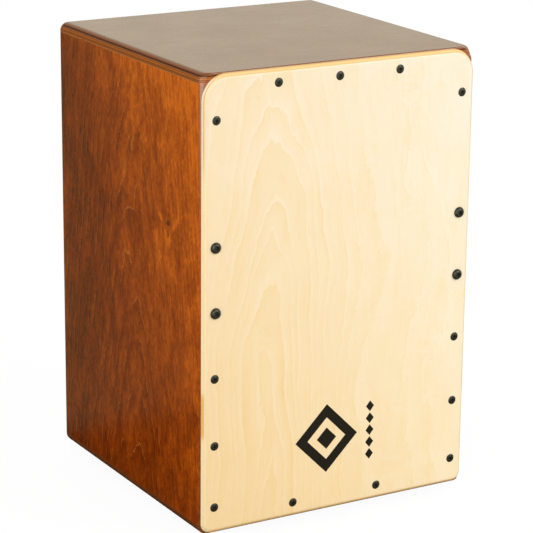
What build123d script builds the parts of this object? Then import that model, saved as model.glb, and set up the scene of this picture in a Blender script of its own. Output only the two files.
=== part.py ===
from build123d import *
import math
import os

# Box drum (cajon) with a screwed-on playing face and an adjustable snare set.
# Millimetres, +Z up. Origin: centre of the footprint, on the floor.
# -Y is the playing face (tapa), +Y is the back with the sound hole, left is -X.
# "H" values in screw tables are heights above the body's underside.

# ---------------------------------------------------------------- dimensions
WIDTH = 300.0            # outside width of the body
BODY_DEPTH = 299.0       # body without the tapa
BODY_HEIGHT = 446.0      # body without the feet
WALL = 9.0               # plywood of seat, base and sides
BACK_T = 6.0             # plywood of the back
BACK_RECESS = 1.0        # back panel sits this far inside the rear edges
EDGE_R = 8.5             # rounding of the seat's outer edges and rear uprights
BASE_R = 8.0             # rounding under the base
FRONT_R = 1.2            # easing of the front edges of seat and base
CORNER_R = 6.5           # rounding of the two front uprights
# upper front corners, sanded off behind the tapa's rounded corners:
# how far in from the side the cut starts, its outward direction, its softening
SANDED_LEFT = (10.0, (-0.472, -0.85, 0.236), 4.0)
SANDED_RIGHT = (12.4, (0.62, -0.62, 0.42), 6.0)
SANDING_SIZE = 80.0      # square block that makes the sanding cut
SANDING_T = 40.0
STRIP = 15.0             # square glue strips inside the corners
STRIP_CHAMFER = 1.0

TAPA_T = 4.0             # plywood of the playing face
TAPA_W = 297.0
TAPA_TOP_GAP = 1.0       # tapa stops this far below the seat's top
TAPA_BOTTOM_GAP = 1.0
TAPA_TOP_R = 25.0
TAPA_BOTTOM_R = 10.0
TAPA_EDGE_R = 5.0        # rounding of the front edge all the way round

HOLE_R = 60.0            # sound hole
HOLE_Z = 302.0
HOLE_EDGE_R = 1.5

# wood screws that hold the tapa, drilled by eye: x, H, along each of its edges
TAPA_SCREWS = {
    "left": ((-135.0, 402.7), (-136.0, 155.8), (-136.0, 89.1), (-136.0, 27.2)),
    "right": ((134.4, 402.7), (134.8, 155.8), (134.8, 89.1), (134.8, 27.2)),
    "top": ((-70.0, 431.8), (-4.0, 431.8), (62.5, 431.8)),
    "bottom": ((-49.0, 15.4), (46.5, 15.4)),
}
# turn of each screw's cross recess in degrees, in the order of the table above
SCREW_TURNS = (12, 48, 75, 31, 66, 5, 83, 57, 22, 40, 71, 17, 62)
SCREW_HEAD_R = 4.4
SCREW_DOME = 0.9         # dome's rise above the tapa
SCREW_DOME_ANGLES = (0, 15, 32, 50, 70)
SCREW_RIM = 0.3          # head's widest point lies this far below the tapa's front
SCREW_CONE = 2.5
SCREW_R = 1.8
SCREW_LEN = 17.0         # from the tapa's front
SCREW_PILOT = 18.0       # hole depth from the tapa's front

PILOT_CLEAR = 0.02       # radial, wood screw in its pilot hole
SHANK_CLEAR = 0.1        # radial, screw through a loose part

# snare adjusting screws, M6 x 40 button head
ADJ_X = 135.4
ADJ_H = {"upper": 283.1, "lower": 220.0}
ADJ_HEAD_R = 5.4
ADJ_HEAD_T = 3.0
ADJ_HEAD_ARC = 60        # degrees of dome before the flat top
ADJ_R = 3.0
ADJ_LEN = 40.0
ADJ_TIP = 0.8            # chamfer at the tip
ADJ_HEX = 4.0            # socket, across flats
ADJ_HEX_DEPTH = 2.0
ADJ_HEX_TURN = {"upper_left": 8, "upper_right": 23, "lower_left": 41, "lower_right": 15}
ADJ_RUN = 0.08           # running clearance in the strip
ADJ_THREAD_RUN = 0.05    # running clearance in the tapped plate

# snare carrier
SPRING_GAP = 6.0         # strip to board with the snare backed off
SPRING_RI = 3.4
SPRING_RO = 4.8
BOARD_W, BOARD_H, BOARD_T = 280.0, 96.0, 10.0
BOARD_HOLE_R = 3.3
BOARD_CHAMFER = 2.0
PLATE_W, PLATE_H, PLATE_T = 18.0, 86.0, 3.0
PLATE_CORNER_R = 1.5
PLATE_SCREW_X = 126.5
PLATE_SCREW_DZ = 20.0
PLATE_SCREW_LEN = 11.0
PLATE_PILOT = 8.5        # hole depth in the board
PAN_R = 1.6              # shank of the pan head screws
PAN_HEAD = ((0, -2.0), (1.6, -2.0), (2.8, -1.5), (3.3, -0.6), (3.3, 0))  # radius, y

SNARE_X = 62.0
STRANDS = 12
STRAND_PITCH = 4.0
STRAND_R = 1.0
STRAND_TIP_GAP = 3.3     # strand to tapa with the snare backed off
STRAND_RISE = 90.0       # height of the curved part
STRAND_TIP = 18.0        # upright part along the tapa
STRAND_ROOT_GAP = 1.0    # clamp bar to strand
END_W, END_H, END_T = 50.0, 20.0, 1.0
END_DROP = 6.0           # end plate's top below the board's top
CLAMP_W, CLAMP_H, CLAMP_T = 50.0, 9.0, 3.0
CLAMP_CHAMFER = 0.8
CLAMP_SCREW_DX = 20.0
CLAMP_SCREW_LEN = 11.5
CLAMP_PILOT = 8.0        # hole depth in the board

# rubber feet
FOOT_H = 11.0
FOOT_X = 100.0
FOOT_INSET = 52.0
FOOT_R_TOP = 15.0
FOOT_R_BOTTOM = 13.5
FOOT_EDGE_R = 1.2
FOOT_WELL_R = 6.6        # well in the underside for washer and screw head
FOOT_SCREW_R = 2.0
FOOT_SCREW_CLEAR = 0.15
FOOT_PILOT = 7.0         # hole depth in the base
FOOT_SCREW = (           # radius, distance upward from the washer's underside
    (0, -2.3), (1.8, -2.3), (3.2, -1.7), (3.8, -0.7), (3.8, 0),
    (FOOT_SCREW_R, 0), (FOOT_SCREW_R, 9.0), (0.5, 11.5), (0, 11.7),
)
WASHER_R = 6.0
WASHER_T = 1.0
WASHER_Z = 6.0

CUT = 5.0                # how far cutters run on into the air

# ---------------------------------------------------------- derived positions
DEPTH = BODY_DEPTH + TAPA_T + ADJ_HEAD_T
Y_TAPA = -DEPTH / 2 + ADJ_HEAD_T
Y_FRONT = Y_TAPA + TAPA_T
Y_BACK = DEPTH / 2
Y_BACK_OUT = Y_BACK - BACK_RECESS
Y_BACK_IN = Y_BACK_OUT - BACK_T
Z_BASE = FOOT_H
Z_TOP = FOOT_H + BODY_HEIGHT
Z_IN_LO = Z_BASE + WALL
Z_IN_HI = Z_TOP - WALL
X_OUT = WIDTH / 2
X_IN = X_OUT - WALL
X_STRIP = X_IN - STRIP

Y_STRIP = Y_FRONT + STRIP
Y_BOARD = Y_STRIP + SPRING_GAP
Y_PLATE = Y_BOARD + BOARD_T
Z_BOARD = Z_BASE + (ADJ_H["upper"] + ADJ_H["lower"]) / 2
Z_BOARD_TOP = Z_BOARD + BOARD_H / 2

Y_END = Y_BOARD - END_T
Y_CLAMP = Y_END - CLAMP_T
Z_END_HI = Z_BOARD_TOP - END_DROP
Z_END_LO = Z_END_HI - END_H
Z_CLAMP_HI = Z_END_LO + CLAMP_H

SIDES = {"left": -1, "right": 1}
SCREWS_AT = {
    edge: [(x, Z_BASE + height) for x, height in spots]
    for edge, spots in TAPA_SCREWS.items()
}
ALL_SCREWS_AT = [spot for spots in SCREWS_AT.values() for spot in spots]
ADJ_AT = {
    f"{level}_{name}": (side * ADJ_X, Z_BASE + height)
    for level, height in ADJ_H.items()
    for name, side in SIDES.items()
}
FEET_AT = {
    f"{end}_{name}_foot": (side * FOOT_X, y)
    for name, side in SIDES.items()
    for end, y in (("front", Y_FRONT + FOOT_INSET), ("rear", Y_BACK - FOOT_INSET))
}


# ------------------------------------------------------------------- helpers
def block(x0, x1, y0, y1, z0, z1):
    """Box between opposite limits, given in either order."""
    centre = Pos((x0 + x1) / 2, (y0 + y1) / 2, (z0 + z1) / 2)
    return centre * Box(abs(x1 - x0), abs(y1 - y0), abs(z1 - z0))


def rod_y(x, z, radius, y0, y1):
    return Pos(x, (y0 + y1) / 2, z) * Rot(90, 0, 0) * Cylinder(radius, y1 - y0)


def bore_y(x, z, radius, y0, y1):
    """Cutter along Y that passes right through the span y0 to y1."""
    return rod_y(x, z, radius, y0 - CUT, y1 + CUT)


def rod_z(radius, z0, z1):
    return Pos(0, 0, (z0 + z1) / 2) * Cylinder(radius, z1 - z0)


def revolved_y(profile):
    """Turns a closed profile of (radius, y) points about the Y axis."""
    outline = Polyline(*[(radius, y, 0) for radius, y in profile], close=True)
    return revolve(make_face(outline), Axis.Y, 360)


def lies_at(edge, **place):
    """True if the edge's ends and middle share the given coordinates, as in X=3."""
    return all(
        abs(getattr(edge @ t, axis) - value) < 0.01
        for axis, value in place.items()
        for t in (0, 0.5, 1)
    )


def edges_at(shape, **place):
    return [e for e in shape.edges() if lies_at(e, **place)]


def edge_pair(shape, half_width, **place):
    """Matching edges on the left and right sides."""
    return edges_at(shape, X=-half_width, **place) + edges_at(shape, X=half_width, **place)


def cross_recess(screw, length, width, floor, turn=0):
    """Cuts a cross into a screw head on its -Y side, down to y = floor."""
    for angle in (0, 90):
        slot = Pos(0, floor - CUT / 2, 0) * Box(length, CUT, width)
        screw -= Rot(0, turn + angle, 0) * slot
    return screw


def save(name, *shapes):
    """Writes one named piece, made of all the solids given."""
    solids = [solid for shape in shapes for solid in shape.solids()]
    piece = solids[0] if len(solids) == 1 else Compound(children=solids)
    piece.label = name
    export_step(piece, f"parts/{name}.step")


# -------------------------------------------------------------------- panels
def eased_uprights(shape):
    """Rounds the two front uprights, across every layer, as a cutter run up them."""
    plan = block(-X_OUT, X_OUT, Y_FRONT, Y_BACK + CUT, Z_BASE - CUT, Z_TOP + CUT)
    return shape & fillet(edge_pair(plan, X_OUT, Y=Y_FRONT), CORNER_R)


def sanded(shape, side, inset, outward, softening):
    """Takes one upper front corner off with a flat cut and softens its edges."""
    direction = Vector(*outward).normalized()
    cut = Plane(origin=(side * (X_OUT - inset), Y_FRONT, Z_TOP), z_dir=outward)
    shape -= cut * Pos(0, 0, SANDING_T / 2) * Box(SANDING_SIZE, SANDING_SIZE, SANDING_T)
    facet = [
        f
        for f in shape.faces()
        if f.geom_type == GeomType.PLANE and (f.normal_at() - direction).length < 1e-3
    ][0]
    return fillet(list(facet.edges()), softening)


def body_blank():
    """Solid body; seat and sides are cut from it, so their outsides run together."""
    blank = block(-X_OUT, X_OUT, Y_FRONT, Y_BACK, Z_BASE, Z_TOP)
    edges = edge_pair(blank, X_OUT, Y=Y_BACK)
    edges += edge_pair(blank, X_OUT, Z=Z_TOP)
    edges += edges_at(blank, Y=Y_BACK, Z=Z_TOP)
    blank = eased_uprights(fillet(edges, EDGE_R))
    blank = sanded(blank, 1, *SANDED_RIGHT)
    blank = sanded(blank, -1, *SANDED_LEFT)
    return fillet(edges_at(blank, Y=Y_FRONT, Z=Z_TOP), FRONT_R)


def seat_panel(blank):
    """Covers the tops of the sides."""
    return blank & block(-WIDTH, WIDTH, Y_FRONT - CUT, Y_BACK + CUT, Z_IN_HI, Z_TOP + CUT)


def side_panel(blank, side):
    """Stands between base and seat."""
    return blank & block(
        side * X_OUT, side * X_IN, Y_FRONT - CUT, Y_BACK + CUT, Z_IN_LO, Z_IN_HI
    )


def base_panel():
    """Lies under the sides and carries the feet."""
    base = block(-X_OUT, X_OUT, Y_FRONT, Y_BACK, Z_BASE, Z_IN_LO)
    base = fillet(edge_pair(base, X_OUT, Y=Y_BACK), EDGE_R)
    under = [e for e in edges_at(base, Z=Z_BASE) if not lies_at(e, Y=Y_FRONT)]
    base = fillet(under, BASE_R)
    front = [e for e in edges_at(base, Y=Y_FRONT) if not lies_at(e, Z=Z_IN_LO)]
    base = eased_uprights(fillet(front, FRONT_R))
    for x, y in FEET_AT.values():
        base -= Pos(x, y, Z_BASE) * rod_z(FOOT_SCREW_R + PILOT_CLEAR, 0, FOOT_PILOT)
    return base


def back_panel():
    """Let in between the four panels, with the sound hole."""
    back = block(-X_IN, X_IN, Y_BACK_IN, Y_BACK_OUT, Z_IN_LO, Z_IN_HI)
    back -= bore_y(0, HOLE_Z, HOLE_R, Y_BACK_IN, Y_BACK_OUT)
    rim = [e for e in edges_at(back, Y=Y_BACK_OUT) if e.geom_type == GeomType.CIRCLE]
    return fillet(rim, HOLE_EDGE_R)


# --------------------------------------------------------------- glue strips
def with_pilots(strip, edge):
    """Drills the tapa screws of one edge into a front strip."""
    for x, z in SCREWS_AT[edge]:
        strip -= rod_y(
            x, z, SCREW_R + PILOT_CLEAR, Y_FRONT - CUT, Y_TAPA + SCREW_PILOT
        )
    return strip


def upright_strip(side_name, y_outer, y_inner, drilled):
    side = SIDES[side_name]
    strip = block(side * X_IN, side * X_STRIP, y_outer, y_inner, Z_IN_LO, Z_IN_HI)
    strip = chamfer(edges_at(strip, X=side * X_STRIP, Y=y_inner), STRIP_CHAMFER)
    if drilled:
        strip = with_pilots(strip, side_name)
        for x, z in ADJ_AT.values():
            if x * side > 0:
                strip -= bore_y(x, z, ADJ_R + ADJ_RUN, y_outer, y_inner)
    return strip


def level_strip(end_name, y_outer, y_inner, drilled):
    z_outer, z_inner = {
        "top": (Z_IN_HI, Z_IN_HI - STRIP),
        "bottom": (Z_IN_LO, Z_IN_LO + STRIP),
    }[end_name]
    strip = block(-X_STRIP, X_STRIP, y_outer, y_inner, z_outer, z_inner)
    strip = chamfer(edges_at(strip, Z=z_inner, Y=y_inner), STRIP_CHAMFER)
    return with_pilots(strip, end_name) if drilled else strip


# ---------------------------------------------------------------------- tapa
def tapa():
    # The rounding is wider than the sheet is thick: it is run on a thicker blank,
    # which is then cut back to the sheet, so the outline is full size at the back face.
    grow = TAPA_EDGE_R - math.sqrt(TAPA_EDGE_R**2 - (TAPA_EDGE_R - TAPA_T) ** 2)
    half_width = TAPA_W / 2 + grow
    z_lo = Z_BASE + TAPA_BOTTOM_GAP - grow
    z_hi = Z_TOP - TAPA_TOP_GAP + grow
    sheet = block(-half_width, half_width, Y_TAPA, Y_TAPA + TAPA_EDGE_R + 1, z_lo, z_hi)
    sheet = fillet(edge_pair(sheet, half_width, Z=z_hi), TAPA_TOP_R + grow)
    sheet = fillet(edge_pair(sheet, half_width, Z=z_lo), TAPA_BOTTOM_R + grow)
    sheet = fillet(edges_at(sheet, Y=Y_TAPA), TAPA_EDGE_R)
    sheet &= block(-WIDTH, WIDTH, Y_TAPA - CUT, Y_FRONT, z_lo - CUT, z_hi + CUT)

    head_r = SCREW_HEAD_R + PILOT_CLEAR
    shank_r = SCREW_R + PILOT_CLEAR
    countersink = [
        (0, -CUT),
        (head_r, -CUT),
        (head_r, SCREW_RIM),
        (shank_r, SCREW_CONE + SCREW_RIM),
        (shank_r, TAPA_T + CUT),
        (0, TAPA_T + CUT),
    ]
    for x, z in ALL_SCREWS_AT:
        sheet -= Pos(x, Y_TAPA, z) * revolved_y(countersink)
    for x, z in ADJ_AT.values():
        sheet -= bore_y(x, z, ADJ_R + SHANK_CLEAR, Y_TAPA, Y_FRONT)
    return sheet


def tapa_screw(turn):
    """Raised countersunk wood screw with a cross recess."""
    dome = [
        (
            SCREW_HEAD_R * math.cos(angle),
            SCREW_RIM - (SCREW_DOME + SCREW_RIM) * math.sin(angle),
        )
        for angle in map(math.radians, SCREW_DOME_ANGLES)
    ]
    shank = [
        (0, -SCREW_DOME),
        (0, SCREW_LEN),
        (SCREW_R * 0.35, SCREW_LEN - 0.4),
        (SCREW_R, SCREW_LEN - 3.0),
        (SCREW_R, SCREW_CONE + SCREW_RIM),
    ]
    screw = cross_recess(
        revolved_y(dome + shank), length=4.6, width=0.95, floor=1.4, turn=turn
    )
    # tapered centre of the recess, wide end outward
    return screw - Rot(90, 0, 0) * Cone(0.4, 1.35, 2.4)


# --------------------------------------------------------------- snare parts
def adjusting_screw(hex_turn):
    """Button head screw with a hexagon socket, head towards -Y."""
    arc = math.radians(ADJ_HEAD_ARC)
    cap = [
        (
            ADJ_HEAD_R * math.cos(angle) ** 0.8,
            -ADJ_HEAD_T * math.sin(angle) / math.sin(arc),
        )
        for angle in map(math.radians, range(0, ADJ_HEAD_ARC + 1, 10))
    ]
    shank = [
        (0, -ADJ_HEAD_T),
        (0, ADJ_LEN),
        (ADJ_R - ADJ_TIP, ADJ_LEN),
        (ADJ_R, ADJ_LEN - ADJ_TIP),
        (ADJ_R, 0),
    ]
    hexagon = RegularPolygon(ADJ_HEX / 2, 6, major_radius=False)
    socket = Rot(-90, 0, 0) * extrude(hexagon, ADJ_HEX_DEPTH + CUT)
    socket = Rot(0, hex_turn, 0) * Pos(0, -ADJ_HEAD_T - CUT, 0) * socket
    return revolved_y(cap + shank) - socket


def spring(x, z):
    """Compression spring between strip and board, shown as a sleeve."""
    sleeve = rod_y(x, z, SPRING_RO, Y_STRIP, Y_BOARD)
    return sleeve - bore_y(x, z, SPRING_RI, Y_STRIP, Y_BOARD)


def pan_screw(length):
    """Pan head wood screw, head towards -Y, shank to +Y."""
    shank = [(PAN_R, 0), (PAN_R, length - 2.0), (0.5, length - 0.3), (0, length)]
    screw = revolved_y(list(PAN_HEAD) + shank)
    return cross_recess(screw, length=3.4, width=0.8, floor=-0.6)


def plate_screws_at(side):
    return [
        (side * PLATE_SCREW_X, Z_BOARD + dz) for dz in (-PLATE_SCREW_DZ, PLATE_SCREW_DZ)
    ]


def clamp_screws_at(side):
    return [
        (side * SNARE_X + dx, Z_END_LO + CLAMP_H / 2)
        for dx in (-CLAMP_SCREW_DX, CLAMP_SCREW_DX)
    ]


def snare_board():
    half = BOARD_W / 2
    board = block(-half, half, Y_BOARD, Y_PLATE, Z_BOARD - BOARD_H / 2, Z_BOARD_TOP)
    board = chamfer(edges_at(board, Y=Y_BOARD, Z=Z_BOARD_TOP), BOARD_CHAMFER)
    for x, z in ADJ_AT.values():
        board -= bore_y(x, z, BOARD_HOLE_R, Y_BOARD, Y_PLATE)
    pilot_r = PAN_R + PILOT_CLEAR
    for side in SIDES.values():
        for x, z in plate_screws_at(side):
            board -= rod_y(x, z, pilot_r, Y_PLATE - PLATE_PILOT, Y_PLATE + CUT)
    for side in SIDES.values():
        for x, z in clamp_screws_at(side):
            board -= rod_y(x, z, pilot_r, Y_BOARD - CUT, Y_BOARD + CLAMP_PILOT)
    return board


def adjuster_plate(side):
    """Tapped plate on the back of the board."""
    x_outer = side * BOARD_W / 2
    x_inner = side * (BOARD_W / 2 - PLATE_W)
    z_lo, z_hi = Z_BOARD - PLATE_H / 2, Z_BOARD + PLATE_H / 2
    y_rear = Y_PLATE + PLATE_T
    plate = block(x_outer, x_inner, Y_PLATE, y_rear, z_lo, z_hi)
    plate = fillet(plate.edges().filter_by(Axis.Y), PLATE_CORNER_R)
    for x, z in ADJ_AT.values():
        if x * side > 0:
            plate -= bore_y(x, z, ADJ_R + ADJ_THREAD_RUN, Y_PLATE, y_rear)
    for x, z in plate_screws_at(side):
        plate -= bore_y(x, z, PAN_R + SHANK_CLEAR, Y_PLATE, y_rear)
    return plate


def strand(x):
    """Wound wire as a rod: upright from the end plate, then up and forward to the tapa."""
    y_root = Y_END - STRAND_R
    y_tip = Y_FRONT + STRAND_TIP_GAP + STRAND_R
    z_touch = Z_END_HI + STRAND_RISE
    root = (x, y_root, Z_CLAMP_HI + STRAND_ROOT_GAP)
    bend = (x, y_root, Z_END_HI)
    middle = (x, (y_root + y_tip) / 2, (Z_END_HI + z_touch) / 2)
    touch = (x, y_tip, z_touch)
    path = Line(root, bend)
    path += Spline(bend, middle, touch, tangents=((0, 0, 1), (0, 0, 1)))
    path += Line(touch, (x, y_tip, z_touch + STRAND_TIP))
    return sweep(Plane(root, z_dir=(0, 0, 1)) * Circle(STRAND_R), path=path)


def snare_strands(side):
    first = side * SNARE_X - (STRANDS - 1) / 2 * STRAND_PITCH
    return [strand(first + i * STRAND_PITCH) for i in range(STRANDS)]


def snare_end_plate(side):
    centre = side * SNARE_X
    plate = block(
        centre - END_W / 2, centre + END_W / 2, Y_END, Y_BOARD, Z_END_LO, Z_END_HI
    )
    for x, z in clamp_screws_at(side):
        plate -= bore_y(x, z, PAN_R + SHANK_CLEAR, Y_END, Y_BOARD)
    return plate


def snare_clamp_bar(side):
    centre = side * SNARE_X
    bar = block(
        centre - CLAMP_W / 2, centre + CLAMP_W / 2, Y_CLAMP, Y_END, Z_END_LO, Z_CLAMP_HI
    )
    bar = chamfer(edges_at(bar, Y=Y_CLAMP, Z=Z_CLAMP_HI), CLAMP_CHAMFER)
    for x, z in clamp_screws_at(side):
        bar -= bore_y(x, z, PAN_R + SHANK_CLEAR, Y_CLAMP, Y_END)
    return bar


# ---------------------------------------------------------------------- feet
def rubber_foot():
    foot = Pos(0, 0, FOOT_H / 2) * Cone(FOOT_R_BOTTOM, FOOT_R_TOP, FOOT_H)
    foot = fillet(edges_at(foot, Z=0), FOOT_EDGE_R)
    foot -= rod_z(FOOT_WELL_R, -CUT, WASHER_Z + WASHER_T)
    return foot - rod_z(FOOT_SCREW_R + FOOT_SCREW_CLEAR, 0, FOOT_H)


def foot_washer():
    return rod_z(WASHER_R, 0, WASHER_T) - rod_z(
        FOOT_SCREW_R + FOOT_SCREW_CLEAR, 0, WASHER_T
    )


def foot_screw():
    """Stands upright, head down."""
    screw = cross_recess(revolved_y(FOOT_SCREW), length=3.8, width=0.9, floor=-0.9)
    return Rot(90, 0, 0) * screw


# --------------------------------------------------------------------- build
os.makedirs("parts", exist_ok=True)

blank = body_blank()
save("seat_panel", seat_panel(blank))
save("base_panel", base_panel())
save("back_panel", back_panel())
for name, side in SIDES.items():
    save(f"{name}_side_panel", side_panel(blank, side))

for place, y_outer, y_inner, drilled in (
    ("front", Y_FRONT, Y_STRIP, True),
    ("rear", Y_BACK_IN, Y_BACK_IN - STRIP, False),
):
    for name in SIDES:
        save(f"{place}_{name}_strip", upright_strip(name, y_outer, y_inner, drilled))
    for name in ("top", "bottom"):
        save(f"{place}_{name}_strip", level_strip(name, y_outer, y_inner, drilled))

save("tapa", tapa())
save("tapa_screws", *[
    Pos(x, Y_TAPA, z) * tapa_screw(turn)
    for (x, z), turn in zip(ALL_SCREWS_AT, SCREW_TURNS)
])

for name, (x, z) in ADJ_AT.items():
    save(f"snare_screw_{name}", Pos(x, Y_TAPA, z) * adjusting_screw(ADJ_HEX_TURN[name]))
save("snare_springs", *[spring(x, z) for x, z in ADJ_AT.values()])
save("snare_board", snare_board())
for name, side in SIDES.items():
    save(f"adjuster_plate_{name}", adjuster_plate(side))
    save(f"snare_strands_{name}", *snare_strands(side))
    save(f"snare_end_plate_{name}", snare_end_plate(side))
    save(f"snare_clamp_bar_{name}", snare_clamp_bar(side))
save("adjuster_plate_screws", *[
    Pos(x, Y_PLATE + PLATE_T, z) * Rot(0, 0, 180) * pan_screw(PLATE_SCREW_LEN)
    for side in SIDES.values()
    for x, z in plate_screws_at(side)
])
save("snare_clamp_screws", *[
    Pos(x, Y_CLAMP, z) * pan_screw(CLAMP_SCREW_LEN)
    for side in SIDES.values()
    for x, z in clamp_screws_at(side)
])

for name, (x, y) in FEET_AT.items():
    save(name, Pos(x, y, 0) * rubber_foot())
save("foot_washers", *[Pos(x, y, WASHER_Z) * foot_washer() for x, y in FEET_AT.values()])
save("foot_screws", *[Pos(x, y, WASHER_Z) * foot_screw() for x, y in FEET_AT.values()])
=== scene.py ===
"""A box drum (cajon) with a snare, standing on a studio floor.

Z is up and the floor is z = 0. The playing face (tapa) looks along -Y, the back
panel along +Y, and -X is the left side as seen from the front. Places and sizes
are in millimetres unless a comment says metres; Blender works in metres.
"""
import bpy
import bmesh
import math
from mathutils import Vector, Matrix


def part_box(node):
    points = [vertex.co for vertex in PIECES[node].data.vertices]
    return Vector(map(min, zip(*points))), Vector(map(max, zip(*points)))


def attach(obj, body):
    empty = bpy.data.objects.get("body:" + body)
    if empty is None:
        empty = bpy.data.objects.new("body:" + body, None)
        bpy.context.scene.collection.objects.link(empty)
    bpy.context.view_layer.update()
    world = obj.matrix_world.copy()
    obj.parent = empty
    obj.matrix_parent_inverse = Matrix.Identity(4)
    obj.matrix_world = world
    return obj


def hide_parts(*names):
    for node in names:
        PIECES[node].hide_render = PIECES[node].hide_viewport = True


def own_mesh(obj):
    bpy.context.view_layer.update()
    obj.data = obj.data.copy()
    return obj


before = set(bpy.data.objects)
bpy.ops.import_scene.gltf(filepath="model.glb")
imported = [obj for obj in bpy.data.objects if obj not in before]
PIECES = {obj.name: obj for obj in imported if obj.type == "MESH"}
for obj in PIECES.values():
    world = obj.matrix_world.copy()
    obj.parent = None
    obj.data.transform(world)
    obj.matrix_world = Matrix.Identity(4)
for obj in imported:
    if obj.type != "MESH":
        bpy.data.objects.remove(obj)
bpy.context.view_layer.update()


def box_mm(name):
    """Lowest and highest corner of a CAD piece, in millimetres."""
    return [corner * 1000 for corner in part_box(name)]


SEAT_LO, SEAT_HI = box_mm("seat_panel")
BOARD_LO, BOARD_HI = box_mm("snare_board")
TAPA_FRONT = box_mm("tapa")[0].y
BACK_REAR = box_mm("back_panel")[1].y
STRIP_REAR = box_mm("front_left_strip")[1].y
Z_TOP, Z_BOTTOM = SEAT_HI.z, box_mm("base_panel")[0].z
Y_FRONT = SEAT_LO.y
HALF_WIDTH = SEAT_HI.x
SEAT_THICK = Z_TOP - SEAT_LO.z


# ------------------------------------------------------------- node helpers
class Value:
    """Output of a shader node. Arithmetic on it adds Math nodes, in the order written."""

    def __init__(self, nodes, socket):
        self.nodes = nodes
        self.socket = socket

    def __add__(self, other):
        return self.nodes.math("ADD", self, other)

    def __radd__(self, other):
        return self.nodes.math("ADD", other, self)

    def __sub__(self, other):
        return self.nodes.math("SUBTRACT", self, other)

    def __rsub__(self, other):
        return self.nodes.math("SUBTRACT", other, self)

    def __mul__(self, other):
        return self.nodes.math("MULTIPLY", self, other)

    def __pow__(self, other):
        return self.nodes.math("POWER", self, other)

    def __abs__(self):
        return self.nodes.math("ABSOLUTE", self)


class Nodes:
    """Adds nodes to one shader tree, which it empties first."""

    def __init__(self, tree):
        self.tree = tree
        tree.nodes.clear()

    def put(self, socket, value):
        if isinstance(value, Value):
            self.tree.links.new(value.socket, socket)
        elif isinstance(value, tuple) and socket.type == "RGBA":
            socket.default_value = (*value, 1.0)
        else:
            socket.default_value = value

    def output(self, kind, *inputs, **settings):
        """Adds a node, fills its inputs in order and returns its first output."""
        node = self.tree.nodes.new(kind)
        for key, setting in settings.items():
            setattr(node, key, setting)
        for socket, value in zip(node.inputs, inputs):
            self.put(socket, value)
        return Value(self, node.outputs[0])

    def source(self, kind, *names):
        """Named outputs of a new node that takes no inputs."""
        node = self.tree.nodes.new(kind)
        return [Value(self, node.outputs[name]) for name in names]

    def math(self, operation, *inputs):
        return self.output("ShaderNodeMath", *inputs, operation=operation)

    def split(self, vector):
        node = self.tree.nodes.new("ShaderNodeSeparateXYZ")
        self.put(node.inputs[0], vector)
        return [Value(self, socket) for socket in node.outputs]

    def remap(self, value, span, to, smooth=False):
        """Carries the range span over to the range to, held at its ends."""
        node = self.tree.nodes.new("ShaderNodeMapRange")
        node.interpolation_type = "SMOOTHSTEP" if smooth else "LINEAR"
        node.clamp = True
        self.put(node.inputs["Value"], value)
        for key, limit in zip(("From Min", "From Max", "To Min", "To Max"), (*span, *to)):
            node.inputs[key].default_value = limit
        return Value(self, node.outputs[0])

    def step(self, value, off, on):
        """0 at off and beyond, 1 at on and beyond; either may be the larger."""
        if off <= on:
            return self.remap(value, (off, on), (0.0, 1.0), smooth=True)
        return 1.0 - self.remap(value, (on, off), (0.0, 1.0), smooth=True)


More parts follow.
